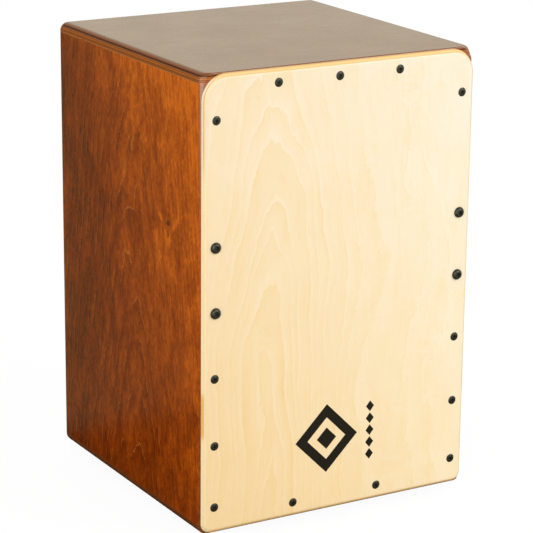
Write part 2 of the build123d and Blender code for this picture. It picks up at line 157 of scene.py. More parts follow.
class Graph(Nodes):
    """One procedural material; x, y, z are the place in mm, nx, ny, nz the normal."""

    def __init__(self, name):
        self.material = bpy.data.materials.new(name)
        self.material.use_nodes = True
        super().__init__(self.material.node_tree)
        out = self.tree.nodes.new("ShaderNodeOutputMaterial")
        self.bsdf = self.tree.nodes.new("ShaderNodeBsdfPrincipled")
        self.tree.links.new(self.bsdf.outputs[0], out.inputs[0])
        place, normal = self.source("ShaderNodeTexCoord", "Object", "Normal")
        self.x, self.y, self.z = self.split(self.tint(place, 1000.0))
        self.nx, self.ny, self.nz = self.split(normal)

    def join(self, x, y, z):
        return self.output("ShaderNodeCombineXYZ", x, y, z)

    def texture_place(self, place, size, seed):
        shifts = (7.31, 3.17, 5.93)  # how far one unit of seed moves each axis
        return self.join(*[
            self.math("ADD", self.math("MULTIPLY", axis, 1.0 / length), seed * shift)
            for axis, length, shift in zip(place, size, shifts)])

    def noise(self, place, size, detail=3.0, rough=0.5, distort=0.0, seed=0.0):
        """Noise whose features have the given size in mm along the three coordinates."""
        node = self.tree.nodes.new("ShaderNodeTexNoise")
        node.noise_dimensions = "3D"
        self.put(node.inputs["Vector"], self.texture_place(place, size, seed))
        node.inputs["Scale"].default_value = 1.0
        node.inputs["Detail"].default_value = detail
        node.inputs["Roughness"].default_value = rough
        node.inputs["Distortion"].default_value = distort
        return Value(self, node.outputs[0])

    def cells(self, place, size, seed):
        """Distance to the nearest of a set of scattered points."""
        node = self.tree.nodes.new("ShaderNodeTexVoronoi")
        node.feature = "F1"
        self.put(node.inputs["Vector"], self.texture_place(place, size, seed))
        node.inputs["Scale"].default_value = 1.0
        return Value(self, node.outputs[0])

    def ramp(self, factor, *stops):
        """Colour ramp; each stop is (position, colour)."""
        node = self.tree.nodes.new("ShaderNodeValToRGB")
        elements = node.color_ramp.elements
        while len(elements) < len(stops):
            elements.new(0.5)
        for element, (position, color) in zip(elements, stops):
            element.position = position
            element.color = (*color, 1.0)
        self.put(node.inputs[0], factor)
        return Value(self, node.outputs[0])

    def mix_node(self, data_type, sockets, values, result):
        node = self.tree.nodes.new("ShaderNodeMix")
        node.data_type = data_type
        node.clamp_factor = True
        for index, value in zip(sockets, values):
            self.put(node.inputs[index], value)
        return Value(self, node.outputs[result])

    def mix(self, factor, under, over):
        """Lays one colour over another."""
        return self.mix_node("RGBA", (0, 6, 7), (factor, under, over), 2)

    def lerp(self, factor, low, high):
        return self.mix_node("FLOAT", (0, 2, 3), (factor, low, high), 0)

    def tint(self, vector, amount):
        """Scales a colour, or any vector, by a factor."""
        node = self.tree.nodes.new("ShaderNodeVectorMath")
        node.operation = "SCALE"
        self.put(node.inputs[0], vector)
        self.put(node.inputs["Scale"], amount)
        return Value(self, node.outputs[0])

    def finish(self, color, rough, bump, strength, distance=0.0002, **inputs):
        """Wires up the surface; distance is the bump height in metres."""
        self.put(self.bsdf.inputs["Base Color"], color)
        self.put(self.bsdf.inputs["Roughness"], rough)
        for key, value in inputs.items():
            self.put(self.bsdf.inputs[key.replace("_", " ")], value)
        node = self.tree.nodes.new("ShaderNodeBump")
        node.inputs["Strength"].default_value = strength
        node.inputs["Distance"].default_value = distance
        self.put(node.inputs["Height"], bump)
        self.tree.links.new(node.outputs[0], self.bsdf.inputs["Normal"])
        return self.material


def swing(*layers, start=None):
    """Sums (noise, weight) layers, each noise centred on zero first."""
    total = start
    for noise, weight in layers:
        term = (noise - 0.5) * weight
        total = term if total is None else total + term
    return total


# ------------------------------------------------------------ wood patterns
# Wood patterns take grain = (across, along, deep): the coordinates across the
# grain, along it, and through the thickness.
def growth_lines(g, grain, centre, left, right, period, arch, per_period, seed,
                 warp=(0.5, 0.16, 0.05)):
    """Nested arches round one axis that run out into near-parallel lines.

    left and right are the arch widths on either side of centre, period its length.
    Returns a sawtooth 0..1 that climbs between the lines.
    """
    across, along, _ = grain
    offset = across - centre
    spread = (g.math("MAXIMUM", offset, 0.0) * (1.0 / right)
              + g.math("MAXIMUM", offset * -1.0, 0.0) * (1.0 / left))
    arches = spread ** 1.5 * arch
    field = along * (1.0 / period) + arches
    broad = g.noise(grain, size=(70, 230, 200), detail=2.0, seed=seed + 1)
    medium = g.noise(grain, size=(20, 75, 200), detail=2.0, distort=0.3, seed=seed + 2)
    small = g.noise(grain, size=(5.0, 16, 200), rough=0.6, distort=0.4, seed=seed + 3)
    field = swing(*[(noise, amount * 4.0)
                    for noise, amount in zip((broad, medium, small), warp)], start=field)
    return g.math("FRACT", field * per_period)


def plies(g, depth, grain, ply, light, mid, dark, seed):
    """Plywood edge colour at a depth below the outer face, and which ply it is (0 or 1)."""
    wobble = swing((g.noise(grain, size=(22, 22, 22), detail=2.0, seed=seed), 0.35))
    count = (depth + wobble) * (1.0 / ply)
    parity = g.math("FRACT", count * 0.5)
    layer = g.step(abs(parity * 2.0 - 1.0), off=0.38, on=0.62)
    color = g.mix(layer, light, mid)
    # glue line where two plies meet
    within = g.math("FRACT", count)
    edge = g.math("MINIMUM", within, 1.0 - within)
    color = g.mix(g.step(edge, off=0.10, on=0.0) * 0.75, color, dark)
    fibre = g.noise(grain, size=(1.2, 1.2, 1.2), rough=0.7, seed=seed + 4)
    return g.tint(color, g.remap(fibre, span=(0.25, 0.75), to=(0.82, 1.18))), layer


RAW = (0.66, 0.50, 0.31)
RAW_DARK = (0.50, 0.35, 0.19)


def raw_face(g, grain, seed, base=RAW):
    """Unfinished birch, seen only inside the box."""
    lines = growth_lines(g, grain, centre=0.0, left=60, right=75, period=120, arch=1.0,
                         per_period=3.0, seed=seed)
    color = g.mix(g.step(lines, off=1.0, on=0.0) * 0.35, base, RAW_DARK)
    fine = g.noise(grain, size=(0.8, 14, 5), rough=0.65, seed=seed + 8)
    return g.tint(color, g.remap(fine, span=(0.3, 0.7), to=(0.88, 1.1)))


# ---------------------------------------------------------- stained panels
# stain colours from dark to light, by tone
STAIN = ((0.00, (0.072, 0.0102, 0.0006)),
         (0.25, (0.128, 0.0195, 0.0008)),
         (0.50, (0.222, 0.0360, 0.0011)),
         (0.75, (0.365, 0.0680, 0.0019)),
         (1.00, (0.590, 0.1320, 0.0048)))
STAIN_THIN = (0.50, 0.165, 0.024)
STAIN_PORE = (0.040, 0.009, 0.002)
KNOT_HEART = (0.055, 0.012, 0.003)
# colour of the painted highlight along the top edge of the sides
SEAM_HIGHLIGHT = (0.42, 0.155, 0.040)
STAINED_PLIES = dict(light=(0.215, 0.062, 0.012), mid=(0.115, 0.030, 0.006),
                     dark=(0.030, 0.008, 0.003))
KNOT_Y, KNOT_Z = -84.0, 304.0
HIGHLIGHT_Y, HIGHLIGHT_Z = -66.0, 268.0        # centre of the painted highlight below the knot, a soft paler patch standing in for a blurred reflection
HIGHLIGHT_HALF_Y, HIGHLIGHT_HALF_Z = 44.0, 30.0


def knot(g, grain, tone, seed):
    """Dark-hearted knot over a funnel of pale wood, with a painted highlight below it: a
    soft paler patch standing in for a blurred reflection.

    Returns the changed tone and where the heart is.
    """
    twist = g.noise(grain, size=(5.0, 6.0, 20), rough=0.6, distort=1.2, seed=seed + 20)
    from_y = (g.y - KNOT_Y) + swing((twist, 9.0))
    from_z = g.z - KNOT_Z
    wide = abs(from_y)
    radius = g.math("SQRT", from_y * from_y + from_z * from_z * 1.6)
    vein = (g.step(wide, off=1.7, on=0.5) * g.step(from_z, off=-17.0, on=-14.0)
            * g.step(from_z, off=0.0, on=-2.0))
    heart = g.math("MAXIMUM", g.step(radius, off=5.2, on=2.0), vein * 0.75)
    # the funnel's two arms open upwards from 3.4 mm off the axis
    arm = wide - (3.4 + g.math("MAXIMUM", from_z + 11.0, 0.0) * 0.85)
    halo = g.step(abs(arm), off=5.5, on=1.0) * (
        g.step(from_z, off=-25.0, on=-15.0) * g.step(from_z, off=17.0, on=3.0))
    flame = g.step(g.noise(grain, size=(3.4, 7.0, 20), rough=0.6, distort=0.9,
                           seed=seed + 21), off=0.36, on=0.60)
    tone = tone + halo * flame * 0.34
    above = g.step(wide, off=11.0, on=3.0) * (
        g.step(from_z, off=3.0, on=8.0) * g.step(from_z, off=42.0, on=14.0))
    tone = tone - above * 0.10
    # painted highlight: a soft paler patch below the knot, standing in for a blurred
    # reflection
    highlight_dy = (g.y - HIGHLIGHT_Y) * (1 / HIGHLIGHT_HALF_Y)
    highlight_dz = (g.z - HIGHLIGHT_Z) * (1 / HIGHLIGHT_HALF_Z)
    patch = g.step(highlight_dy * highlight_dy + highlight_dz * highlight_dz, off=1.0, on=0.0)
    return tone + patch * 0.11, heart


def stained_material(name, face, seed, centre):
    """Stained and lacquered birch plywood; centre is where the growth arches stand."""
    g = Graph(name)
    x, y, z = g.x, g.y, g.z
    is_side = face in ("left", "right")
    if is_side:
        grain = (y, z, x)
        depth = HALF_WIDTH - abs(x)
        toward_inside = g.nx if face == "left" else g.nx * -1.0
    elif face == "back":
        grain = (x, z, y)
        depth = BACK_REAR - y
        toward_inside = g.ny * -1.0
    else:
        grain = (y, x, z)
        depth = z - Z_BOTTOM
        toward_inside = g.nz
    inner = g.step(toward_inside, off=0.55, on=0.8)

    # blotchy stain, drawn out along the grain
    blotch = g.noise(grain, size=(17, 42, 60), rough=0.55, distort=0.7, seed=seed + 12)
    broad = g.noise(grain, size=(60, 170, 90), detail=2.0, distort=0.3, seed=seed + 17)
    streak = g.noise(grain, size=(3.0, 15, 30), rough=0.6, distort=0.5, seed=seed + 11)
    short = g.noise(grain, size=(1.5, 5.0, 20), rough=0.62, distort=0.4, seed=seed + 18)
    fibre = g.noise(grain, size=(0.75, 5.0, 5), rough=0.7, seed=seed + 13)
    mottle = g.noise(grain, size=(6, 8.5, 20), detail=4.0, rough=0.62, distort=0.9,
                     seed=seed + 14)
    tone = swing((blotch, 0.72), (broad, 0.34), (streak, 0.27), (short, 0.36),
                 (fibre, 0.70), (mottle, 0.44))
    # flat-sawn arches: the edge of each ring took less stain, and fades in and out
    lines = growth_lines(g, grain, centre=centre, left=30, right=40, period=74, arch=1.15,
                         per_period=1.35, warp=(0.40, 0.20, 0.075), seed=seed)
    patch = g.noise(grain, size=(26, 40, 60), detail=2.0, seed=seed + 19)
    thin = g.step(lines, off=0.060, on=0.012) * g.step(patch, off=0.42, on=0.58)
    shade = g.step(lines, off=0.45, on=1.0) * g.step(patch, off=0.34, on=0.56)
    tone = tone + shade * -0.13
    if is_side:
        # painted light: the colour brightens towards the playing face, most of all near the
        # top, standing in for the light's falloff; the lacquer sheen also weakens towards
        # the face
        front = g.remap(y, span=(148, -150), to=(0.0, 1.0))
        painted_light_gain = 0.225 + g.remap(z, span=(20, 440), to=(0.0, 1.0)) ** 1.35 * 0.365
        tone = tone + front * painted_light_gain + g.remap(z, span=(120, 450), to=(0.345, 0.385))
        # more painted light: a brighter band just under the seat panel
        tone = tone + g.step(z, off=385, on=446) * 0.070
        film = 1.0 - front * 0.62
    else:
        tone = tone + 0.46
        film = 1.0
    if face == "left":
        tone, heart = knot(g, grain, tone, seed)
    color = g.mix(thin * 0.60, g.ramp(tone, *STAIN), STAIN_THIN)
    if face == "left":
        color = g.mix(heart * 0.75, color, KNOT_HEART)
    # pores: short dark ticks along the grain
    pore = g.step(g.cells(grain, size=(1.1, 6.0, 3), seed=seed + 15), off=0.20, on=0.07)
    pore = pore * g.step(streak, off=0.56, on=0.42)
    color = g.mix(pore * 0.30, color, STAIN_PORE)
    if is_side:
        # painted highlight: a thin pale line along the top edge of the side, just under the
        # seat panel, broken in patches
        wear_and_highlight_patches = g.noise((x, y, z), size=(8, 8, 8), rough=0.6, seed=seed + 22)
        painted_seam_highlight = (g.step(z, off=SEAT_LO.z - 0.9, on=SEAT_LO.z - 0.35)
                 * g.step(wear_and_highlight_patches, off=0.36, on=0.5))
        color = g.mix(painted_seam_highlight * 0.65, color, SEAM_HIGHLIGHT)
    edge_color, layer = plies(g, depth, grain, ply=1.30, seed=seed, **STAINED_PLIES)
    on_edge = g.step(depth, off=0.35, on=0.9) * (1.0 - inner)
    if is_side:
        # the front uprights are stained over; the plies only just show
        upright = g.step(y, off=Y_FRONT + 11.0, on=Y_FRONT + 7.0)
        cover = g.remap(z, span=(280, 420), to=(0.80, 0.22))
        edge_color = g.mix(upright * cover, edge_color, color)
    color = g.mix(on_edge, color, edge_color)
    color = g.mix(inner, color, raw_face(g, grain, seed=seed + 30))
    # lacquer: satin, a little uneven, rougher at the cut edges
    rub = g.noise((x, y, z), size=(60, 60, 60), rough=0.6, seed=seed + 16)
    rough = swing((short, 0.10), start=0.17 + rub * 0.12) + on_edge * 0.08
    rough = g.lerp(inner, rough, 0.85)
    # bump: fibres and ticks, sunk pores, plies standing out on the edge
    height = fibre * 0.5 + short * 0.4 - pore * 0.6 + layer * on_edge * 0.6
    if is_side:
        # on the front uprights the film follows height instead: thicker at the top
        upright_film = g.remap(z, span=(250, 430), to=(0.36, 1.75))
        film = g.lerp(on_edge * upright, film, upright_film)
    coat = g.lerp(inner, 0.30, 0.0) * film
    # film is a plain number on the base and back, so the product is spelled out
    return g.finish(color, rough, height, strength=0.16,
                    Specular_IOR_Level=g.math("MULTIPLY", film, 0.42),
                    Coat_Weight=coat, Coat_Roughness=0.13)


def seat_material():
    """Darker stained plywood with its plies open round the edge."""
    g = Graph("stained_seat_panel")
    grain, place = (g.y, g.x, g.z), (g.x, g.y, g.z)
    depth = Z_TOP - g.z
    lines = growth_lines(g, grain, centre=12.0, left=42, right=50, period=90, arch=1.1,
                         per_period=1.6, warp=(0.45, 0.18, 0.08), seed=51.0)
    streak = g.noise(grain, size=(2.4, 34, 30), detail=4.0, rough=0.62, distort=0.3,
                     seed=52.0)
    blotch = g.noise(grain, size=(16, 50, 60), distort=0.6, seed=53.0)
    fibre = g.noise(grain, size=(0.7, 6.0, 5), detail=4.0, rough=0.7, seed=54.0)
    tone = swing((streak, 0.43), (blotch, 0.38), (fibre, 0.36))
    tone = tone + g.step(lines, off=0.12, on=0.0) * 0.08 + 0.5
    color = g.ramp(tone,
                   (0.0, (0.085, 0.030, 0.009)),
                   (0.5, (0.165, 0.066, 0.020)),
                   (1.0, (0.270, 0.115, 0.038)))
    pore_color = (0.016, 0.006, 0.003)
    pore = g.step(g.cells(grain, size=(0.9, 6.5, 3), seed=55.0), off=0.20, on=0.06)
    pore = pore * g.step(streak, off=0.60, on=0.42)
    color = g.mix(pore * 0.5, color, pore_color)
    # the edge, layer by layer down from the face veneer
    wobble = g.noise(place, size=(20, 20, 20), detail=2.0, seed=56.0)
    down = swing((wobble, 0.35), start=depth) * (1.0 / SEAT_THICK)
    light, mid, dark = (0.370, 0.108, 0.013), (0.225, 0.057, 0.006), (0.036, 0.009, 0.003)
    edge_color = g.ramp(down,
                        (0.00, mid), (0.20, mid), (0.265, dark), (0.335, dark),
                        (0.375, mid), (0.485, light), (0.520, dark), (0.555, light),
                        (0.675, light), (0.705, dark), (0.745, mid), (0.840, light),
                        (0.870, dark), (0.895, mid), (0.950, light),
                        (1.00, (0.40, 0.135, 0.034)))
    grit = g.noise(place, size=(1.1, 1.1, 1.1), rough=0.7, seed=59.0)
    edge_color = g.tint(edge_color, g.remap(grit, span=(0.25, 0.75), to=(0.80, 1.22)))
    on_edge = g.step(depth, off=0.25, on=1.1)
    color = g.mix(on_edge, color, edge_color)
    # underside is bare; the cut edge shines less than the top
    under = g.step(g.nz, off=-0.6, on=-0.9)
    cut = on_edge * g.step(g.nz, off=0.55, on=0.20)
    color = g.mix(under, color, raw_face(g, grain, seed=57.0))
    rub = g.noise(place, size=(55, 55, 55), rough=0.6, seed=58.0)
    rough = swing((streak, 0.12), start=0.23 + rub * 0.10)
    rough = g.lerp(under, rough + on_edge * 0.05, 0.85)
    height = fibre * 0.35 + streak * 0.7 - pore * 0.6
    return g.finish(color, rough, height, strength=0.09,
                    Specular_IOR_Level=0.5 - cut * 0.22,
                    Coat_Weight=(1.0 - under) * (0.35 - cut * 0.22),
                    Coat_Roughness=0.18)


# -------------------------------------------------------------------- tapa
ARCH_X = -77.0              # axis of the arches
ARCH_TIP = 15.0             # rounding radius of their tips
CLIMB_Z, ARCH_Z = 185.0, 430.0   # arches are steep above CLIMB_Z; ARCH_Z is their zero


def falloff(g, square):
    """Bell curve: exp(-square)."""
    return g.math("EXPONENT", square * -1.0)


def tapa_arches(g):
    """Smooth field whose whole-number levels are the growth lines of the tapa."""
    x, y, z = g.x, g.y, g.z
    # the lines lean aside at two heights, and sway slowly
    bend = (z - 262.0) * (1 / 92.0)
    bend = falloff(g, bend * bend)
    bent_x = x - bend * 24.0 * g.step(x, off=-66.0, on=20.0)
    low = (z - 70.0) * (1 / 60.0)
    low = falloff(g, low * low)
    bent_x = bent_x + low * 12.0 * g.step(x, off=-40.0, on=60.0)
    sway = g.noise((z, x, y), size=(130, 400, 300), detail=1.0, seed=3.3)
    offset = swing((sway, 26.0), start=bent_x) - ARCH_X
    right = g.math("MAXIMUM", offset, 0.0)
    left = g.math("MAXIMUM", offset * -1.0, 0.0)
    # across the width: a crowded core, then even spacing on either side
    core = falloff(g, (right * (1 / 46.0) + left * (1 / 40.0)) ** 2.0)
    blunt = g.math("SQRT", offset * offset + ARCH_TIP ** 2) - ARCH_TIP
    away = blunt * g.lerp(g.step(offset, off=-8.0, on=8.0), 1 / 58.0, 1 / 40.0)
    field = (1.0 - core) * 2.1 + away
    # up the height, strongest on the axis
    upper = g.math("MAXIMUM", z, CLIMB_Z) - ARCH_Z
    lower = g.math("MINIMUM", z, CLIMB_Z) - CLIMB_Z
    climb = upper * (1 / 47.0) + lower * (1 / 210.0)
    near_axis = falloff(g, (right * (1 / 54.0) + left * (1 / 66.0)) ** 2.0)
    return field + climb * (0.13 + near_axis * 0.87)


def tapa_base(g, amber):
    """Ground colour, deepened by amber per channel; its drift over width and height is
    partly the veneer's own tone and partly painted light, paler to the right and the top.
    """
    u = (g.x - -148.5) * (1 / 297.0)
    v = (g.z - 12.0) * (1 / 443.0)
    uv = u * v
    down = 1.0 - v
    # partly painted light: paler towards the right and the top
    red = 0.690 + (u * 0.019 + down * (0.035 + u * 0.050))
    green = 0.527 + (u * 0.130 + (v * 0.040 - uv * 0.035))
    blue = 0.266 + (u * 0.205 + (v * 0.100 - uv * 0.070))
    uu = u * u
    # second-order trim of the drift
    green = green * ((1.017 + u * -0.085) + (uu * 0.083 - uv * 0.012))
    blue = blue * ((1.043 + u * -0.374) + (uu * 0.273 + (v * 0.074 + uv * 0.085)))
    return g.join(red * (1.0 + amber * -0.016),
                  green * (1.0 + amber * -0.062),
                  blue * (1.0 + amber * -0.190))


def tapa_edge(g, depth):
    """Three plies round the edge; which of them show end grain turns with the side."""
    z = g.z
    fibre = g.noise((g.x, g.y, z), size=(1.1, 1.1, 1.1), rough=0.7, seed=9.6)
    flank = g.step(abs(g.nx) - abs(g.nz), off=-0.55, on=0.05)
    end_edge = g.ramp(depth * 0.25,
                      (0.06, (0.600, 0.345, 0.108)), (0.17, (0.605, 0.348, 0.110)),
                      (0.24, (0.690, 0.465, 0.180)), (0.62, (0.680, 0.450, 0.170)),
                      (0.72, (0.590, 0.350, 0.115)))
    flank_edge = g.ramp(depth * 0.25,
                        (0.06, (0.720, 0.575, 0.345)), (0.29, (0.725, 0.580, 0.355)),
                        (0.35, (0.655, 0.330, 0.085)), (0.47, (0.660, 0.335, 0.087)),
                        (0.54, (0.760, 0.660, 0.470)))
    pale_ply, amber_ply = (0.880, 0.700, 0.385), (0.800, 0.440, 0.105)
    # the amber layer shows well near the top and in a low patch, less between
    low_patch = g.step(z, off=158, on=146) * g.step(z, off=104, on=114)
    ends = g.math("MAXIMUM", g.step(z, off=350, on=385), low_patch)
    plain = (1.0 - ends) * (0.25 + g.step(depth, off=0.9, on=1.8) * 0.55)
    flank_edge = g.mix(plain, flank_edge, pale_ply)
    flank_edge = g.mix(low_patch * g.step(depth, off=1.75, on=2.10), flank_edge, amber_ply)
    edge = g.mix(flank, end_edge, flank_edge)
    return g.tint(edge, g.remap(fibre, span=(0.25, 0.75), to=(0.93, 1.07)))


def tapa_material():
    """Flat-cut birch veneer: tall ragged arches left of the middle, lines that
    bend round them on the right."""
    g = Graph("tapa_birch")
    x, y, z = g.x, g.y, g.z
    grain = (x, z, y)
    depth = y - TAPA_FRONT
    field = tapa_arches(g)
    # burl: disturbed patches, right of the arches only
    burl = g.noise(grain, size=(34, 40, 60), detail=2.0, seed=3.7)
    burl = g.step(burl, off=0.50, on=0.68) * g.step(x, off=-30.0, on=70.0)
    broad = g.noise(grain, size=(66, 210, 200), detail=2.0, seed=4.0)
    medium = g.noise(grain, size=(17, 58, 200), detail=2.0, distort=0.4, seed=5.0)
    small = g.noise(grain, size=(4.6, 17, 200), rough=0.62, distort=0.5, seed=6.0)
    knotty = g.noise(grain, size=(7.0, 8.0, 200), rough=0.62, distort=1.0, seed=6.5)
    field = swing((broad, 1.9), (medium, 0.85), (small, 0.34), start=field)
    field = field + (knotty - 0.5) * burl * 1.3
    # uneven spacing of the lines
    field = field + g.math("SINE", field * 2.3) * 0.26
    lines = g.math("FRACT", field)
    band = g.math("FLOOR", field)
    # each band has its own strength, which also varies over the face
    own = g.noise((band, 0.0, 0.0), size=(0.37, 1, 1), detail=0.0, seed=6.9)
    strength = g.noise(grain, size=(46, 120, 60), detail=2.0, seed=7.0)
    strength = (g.remap(strength, span=(0.34, 0.62), to=(0.24, 0.88))
                * g.remap(own, span=(0.3, 0.7), to=(0.5, 1.1)))
    strength = strength * g.remap(x, span=(-140.0, -105.0), to=(0.62, 1.0))
    pale = g.step(lines, off=0.0, on=0.04) * g.step(lines, off=0.26, on=0.05) * strength
    shade = lines ** 2.2 * strength
    # three faint lines to each main one
    minor = g.math("FRACT", field * 3.0)
    minor = minor ** 3.0 * g.step(medium, off=0.46, on=0.60) * 0.5
    fine = g.noise(grain, size=(0.8, 11, 5), rough=0.65, seed=8.0)
    vein = g.noise(grain, size=(3.4, 80, 30), rough=0.6, distort=0.3, seed=8.3)
    cloud = g.noise(grain, size=(42, 60, 50), rough=0.55, distort=0.8, seed=8.6)
    speckle = g.noise(grain, size=(2.0, 3.2, 5), rough=0.65, distort=0.4, seed=8.8)
    curl = g.noise(grain, size=(24, 5.0, 20), detail=2.0, rough=0.6, distort=0.9, seed=9.1)
    curl = (curl - 0.5) * burl
    fleck = g.cells(grain, size=(5.0, 9.0, 8), seed=9.3)
    fleck = g.step(fleck, off=0.085, on=0.03) * (burl * 1.0)
    # how much amber shows; lines are bolder and the rest calmer on the left
    bold = g.remap(x, span=(-45.0, 25.0), to=(1.0, 0.0))
    amber = shade * (0.65 + bold * 1.00)
    amber = amber - pale * (0.40 + bold * 0.52) + minor
    soft = swing((fine, 0.66), (vein, 0.50), (cloud, 0.92), (speckle, 0.88))
    amber = amber + soft * (1.35 - bold * 0.38) + curl * 2.2 + fleck * 2.2
    core = g.step(depth, off=0.22, on=0.36)
    color = g.mix(core * 0.95, tapa_base(g, amber), tapa_edge(g, depth))
    rub = g.noise((x, y, z), size=(70, 70, 70), rough=0.6, seed=10.0)
    rough = 0.36 + rub * 0.14 + core * 0.15
    height = fine * 0.5 + vein * 0.2 - fleck * 0.7 + pale * 0.12
    return g.finish(color, rough, height, strength=0.12, Specular_IOR_Level=0.38,
                    Coat_Weight=0.12, Coat_Roughness=0.3)


# --------------------------------------------------------- other materials
def strip_material(name, along_axis, seed):
    """Bare pine with its grain along x or z."""
    g = Graph(name)
    grain = {"x": (g.y, g.x, g.z), "z": (g.x, g.z, g.y)}[along_axis]
    ring = g.noise(grain, size=(5.0, 160, 5.0), detail=2.0, distort=0.4, seed=seed)
    rings = g.math("FRACT", ring * 9.0)
    late = g.step(rings, off=0.4, on=0.95) * g.step(rings, off=1.0, on=0.97)
    fibre = g.noise(grain, size=(0.5, 12, 0.5), rough=0.7, seed=seed + 1)
    early_wood, late_wood = (0.68, 0.50, 0.29), (0.50, 0.31, 0.13)
    color = g.mix(late * 0.7, early_wood, late_wood)
    color = g.tint(color, g.remap(fibre, span=(0.3, 0.7), to=(0.86, 1.12)))
    height = fibre + late * 0.5
    rough = g.remap(fibre, span=(0.2, 0.8), to=(0.72, 0.9))
    return g.finish(color, rough, height, strength=0.35, distance=0.0003,
                    Specular_IOR_Level=0.25)


def board_material():
    """Bare seven-ply board."""
    g = Graph("snare_board_ply")
    x, y, z = g.x, g.y, g.z
    color = raw_face(g, (z, x, y), seed=71.0, base=(0.70, 0.54, 0.34))
    depth = y - BOARD_LO.y
    thick = BOARD_HI.y - BOARD_LO.y
    edge_color, layer = plies(g, depth, (x, z, y), ply=thick / 7.0,
                              light=(0.66, 0.48, 0.28), mid=(0.48, 0.30, 0.14),
                              dark=(0.20, 0.11, 0.05), seed=72.0)
    on_edge = (g.step(depth, off=0.2, on=0.5)
               * g.step(depth, off=thick - 0.2, on=thick - 0.5))
    color = g.mix(on_edge, color, edge_color)
    fibre = g.noise((z, x, y), size=(0.6, 12, 5), rough=0.7, seed=73.0)
    height = fibre + layer * on_edge * 0.6
    return g.finish(color, rough=0.8, bump=height, strength=0.3, distance=0.0003,
                    Specular_IOR_Level=0.25)


def metal_material(name, base, rough, grain, seed, metallic=1.0, wear=0.0, wear_and_highlight_patches=None):
    """Slightly uneven metal; wear is how far the worn colour shows in spots."""
    g = Graph(name)
    place = (g.x, g.y, g.z)
    cloud = g.noise(place, size=(grain,) * 3, detail=4.0, rough=0.65, seed=seed)
    fine = g.noise(place, size=(0.3, 0.3, 0.3), rough=0.7, seed=seed + 1)
    color = g.tint(base, g.remap(cloud, span=(0.25, 0.75), to=(0.8, 1.2)))
    if wear:
        color = g.mix(g.step(cloud, off=0.60, on=0.72) * wear, color, wear_and_highlight_patches)
    return g.finish(color, rough + swing((cloud, 0.22)), fine * 0.7 + cloud * 0.4,
                    strength=0.12, distance=0.0001, Metallic=metallic)


def rubber_material():
    g = Graph("foot_rubber")
    place = (g.x, g.y, g.z)
    cloud = g.noise(place, size=(3, 3, 3), detail=4.0, rough=0.65, seed=81.0)
    black_rubber, dust = (0.016, 0.016, 0.017), (0.075, 0.07, 0.065)
    color = g.mix(g.step(cloud, off=0.56, on=0.72) * 0.35, black_rubber, dust)
    fine = g.noise(place, size=(0.4, 0.4, 0.4), rough=0.7, seed=82.0)
    rough = g.remap(cloud, span=(0.3, 0.7), to=(0.62, 0.82))
    return g.finish(color, rough, fine, strength=0.3)


def print_material():
    g = Graph("printed_mark_ink")
    streak = g.noise((g.x, g.z, g.y), size=(0.5, 5.0, 1), rough=0.7, seed=91.0)
    ink, thin_ink = (0.010, 0.008, 0.003), (0.06, 0.045, 0.028)
    color = g.mix(g.step(streak, off=0.68, on=0.80) * 0.35, ink, thin_ink)
    rough = g.remap(streak, span=(0.2, 0.8), to=(0.42, 0.6))
    return g.finish(color, rough, streak, strength=0.12, distance=0.0001,
                    Specular_IOR_Level=0.32)


# -------------------------------------------------------- dress the pieces
def dress(material, *names):
    for name in names:
        slots = PIECES[name].data.materials
        slots.clear()
        slots.append(material)


dress(seat_material(), "seat_panel")
dress(stained_material("stained_left", "left", seed=21.0, centre=-20.0), "left_side_panel")
dress(stained_material("stained_right", "right", seed=24.0, centre=15.0),
      "right_side_panel")
dress(stained_material("stained_base", "base", seed=27.0, centre=0.0), "base_panel")
dress(stained_material("stained_back", "back", seed=33.0, centre=30.0), "back_panel")
dress(tapa_material(), "tapa")
STRIPS = (("front_left_strip", "z"), ("front_right_strip", "z"),
          ("rear_left_strip", "z"), ("rear_right_strip", "z"),
          ("front_top_strip", "x"), ("front_bottom_strip", "x"),
          ("rear_top_strip", "x"), ("rear_bottom_strip", "x"))
for i, (strip, axis) in enumerate(STRIPS):
    dress(strip_material("pine_" + strip, axis, seed=40.0 + 2 * i), strip)
dress(board_material(), "snare_board")

black = metal_material("black_oxide", base=(0.042, 0.043, 0.031), rough=0.40, grain=3.0,
                       seed=61.0, metallic=0.50, wear=0.25, wear_and_highlight_patches=(0.17, 0.16, 0.12))
zinc = metal_material("zinc_plated", base=(0.62, 0.62, 0.60), rough=0.34, grain=2.5,
                      seed=63.0)
wire = metal_material("bright_wire", base=(0.66, 0.66, 0.66), rough=0.24, grain=1.5,
                      seed=65.0)
CORNERS = ("upper_left", "upper_right", "lower_left", "lower_right")
dress(black, "tapa_screws", *["snare_screw_" + corner for corner in CORNERS])
dress(zinc, "adjuster_plate_left", "adjuster_plate_right", "adjuster_plate_screws",
      "snare_end_plate_left", "snare_end_plate_right", "snare_clamp_bar_left",
      "snare_clamp_bar_right", "snare_clamp_screws", "foot_washers", "foot_screws")
dress(rubber_material(), "front_left_foot", "rear_left_foot", "front_right_foot",
      "rear_right_foot")


# --------------------------------------------------------- mesh helpers
def tube_mesh(bm, path, radius, sides):
    """Closed tube along a list of points, in metres."""
    rings = []
    normal = Vector((0.31, 0.52, 0.79)).normalized()
    last = len(path) - 1
    for i, point in enumerate(path):
        tangent = (path[min(i + 1, last)] - path[max(i - 1, 0)]).normalized()
        normal = (normal - tangent * normal.dot(tangent)).normalized()
        side = tangent.cross(normal)
        rings.append([
            bm.verts.new(point + radius * (math.cos(2 * math.pi * k / sides) * normal
                                           + math.sin(2 * math.pi * k / sides) * side))
            for k in range(sides)])
    for ring, following in zip(rings, rings[1:]):
        for k in range(sides):
            j = (k + 1) % sides
            bm.faces.new((ring[k], ring[j], following[j], following[k]))
    bm.faces.new(list(reversed(rings[0])))
    bm.faces.new(rings[-1])


